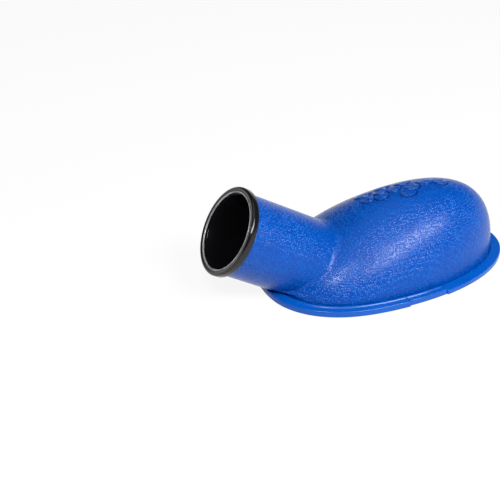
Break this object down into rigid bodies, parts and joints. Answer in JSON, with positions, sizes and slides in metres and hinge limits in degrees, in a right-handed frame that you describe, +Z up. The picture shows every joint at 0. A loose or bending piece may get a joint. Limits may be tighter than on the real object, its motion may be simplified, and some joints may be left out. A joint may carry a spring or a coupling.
{
  "type": "tennis ball launcher",
  "caption": "Low foot-pump ball launcher for dogs: a soft blue moulded dome and neck on a rimmed base, with a slanted black barrel and collar that holds a tennis ball.",
  "frame": {"origin": "on the underside of the rubber sole, midway along the base and on its middle line", "axes": "+Z up out of the sole, +X towards the muzzle, which is the longest way, and +Y to the left, square to the plane of symmetry"},
  "size_m": [0.2938, 0.1506, 0.1009],
  "materials": {
    "skin_blue": "royal blue moulded elastomer with a fine pebbled grain, semi-gloss",
    "rim_blue": "royal blue moulded plastic, smooth, semi-gloss",
    "black_gloss": "glossy black moulded plastic",
    "base_grey": "dark grey moulded plastic, fine matt",
    "sole_rubber": "black sheet rubber, matt",
    "steel": "zinc plated steel"
  },
  "bodies": {
    "base": {"base_plate": "base_grey", "sole_pad": "sole_rubber", "dome_skin": "skin_blue", "rim_front": "rim_blue", "rim_rear": "rim_blue", "rim_clip_left": "rim_blue", "rim_clip_right": "rim_blue", "barrel_tube": "black_gloss", "muzzle_collar": "black_gloss", "ball_stop": "black_gloss", "hinge_pin": "steel", "pin_clip_left": "steel", "pin_clip_right": "steel", "return_spring": "steel", "rim_screw_1": "steel", "rim_screw_2": "steel", "rim_screw_3": "steel", "rim_screw_4": "steel", "rim_screw_5": "steel", "rim_screw_6": "steel", "rim_screw_7": "steel", "rim_screw_8": "steel", "rim_screw_9": "steel", "rim_screw_10": "steel"},
    "treadle": {"treadle": "base_grey"}
  },
  "joints": [
    {"name": "stomp", "type": "hinge", "parent": "base", "child": "treadle", "pos_m": [0.022, 0, 0.034], "axis": [0, -1, 0], "range_deg": [0, 16], "stiffness_Nm_per_rad": 5, "springref_deg": -8.59, "deforming": ["dome_skin", "return_spring"]}
  ]
}
